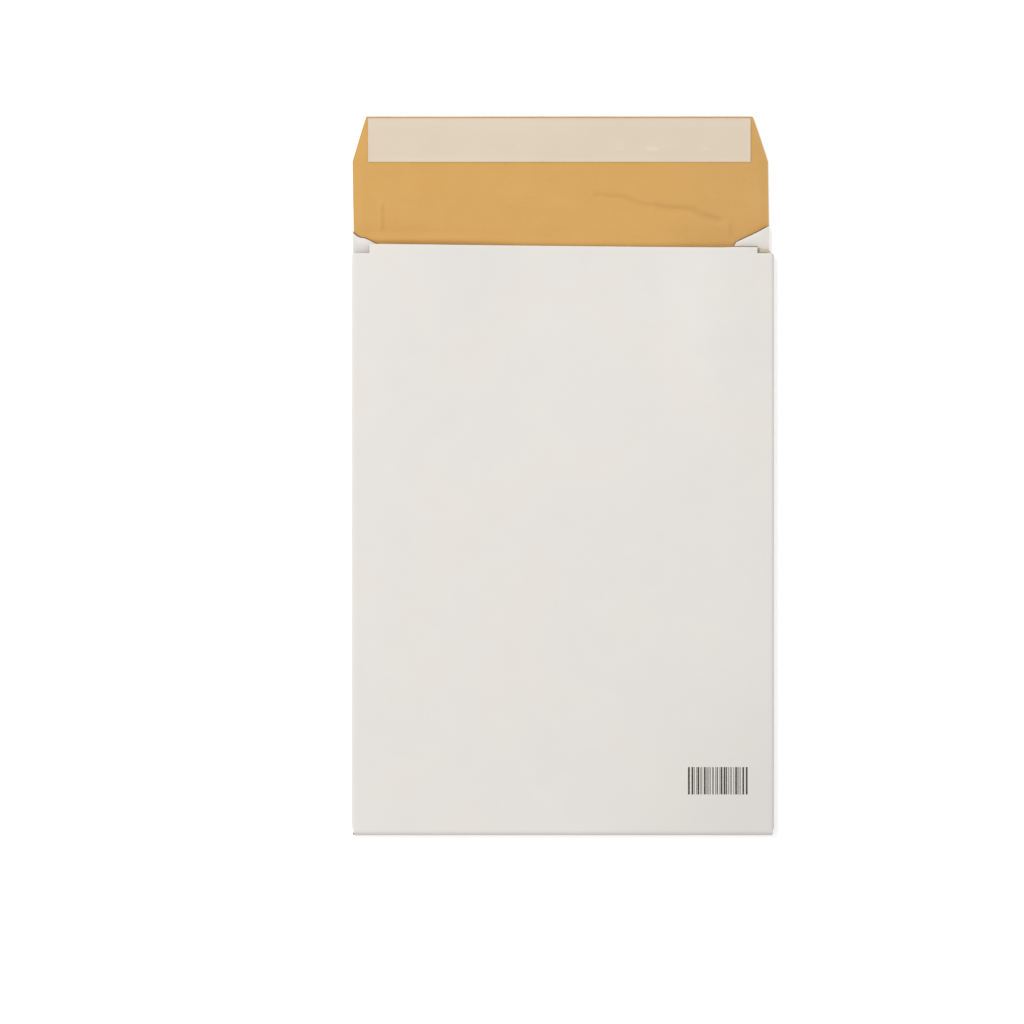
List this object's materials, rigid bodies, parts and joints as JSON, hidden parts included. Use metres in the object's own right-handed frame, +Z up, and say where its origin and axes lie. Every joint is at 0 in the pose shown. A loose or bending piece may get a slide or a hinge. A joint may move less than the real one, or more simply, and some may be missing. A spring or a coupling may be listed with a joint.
{
  "type": "padded envelope",
  "caption": "Gusseted padded mailing envelope, white outside and brown padded inside, lying open with a tapered peel-and-seal flap.",
  "frame": {"origin": "under the middle of the open envelope's box, on the surface that it lies on", "axes": "+Y along the envelope from the bottom fold towards the open flap, +Z up out of the front, +X across to the right as the front is read"},
  "size_m": [0.24, 0.4094, 0.0089],
  "materials": {
    "white_paper": "matt white uncoated paper",
    "brown_padding": "matt brown kraft paper over soft padding",
    "release_paper": "smooth cream release paper",
    "hot_melt": "clear pale pressure-sensitive adhesive"
  },
  "bodies": {
    "root": {"outer_sheet": "white_paper", "padded_liner": "brown_padding", "seal_adhesive": "hot_melt", "release_strip": "release_paper", "side_seam_glue_left": "hot_melt", "side_seam_glue_right": "hot_melt"}
  },
  "joints": []
}
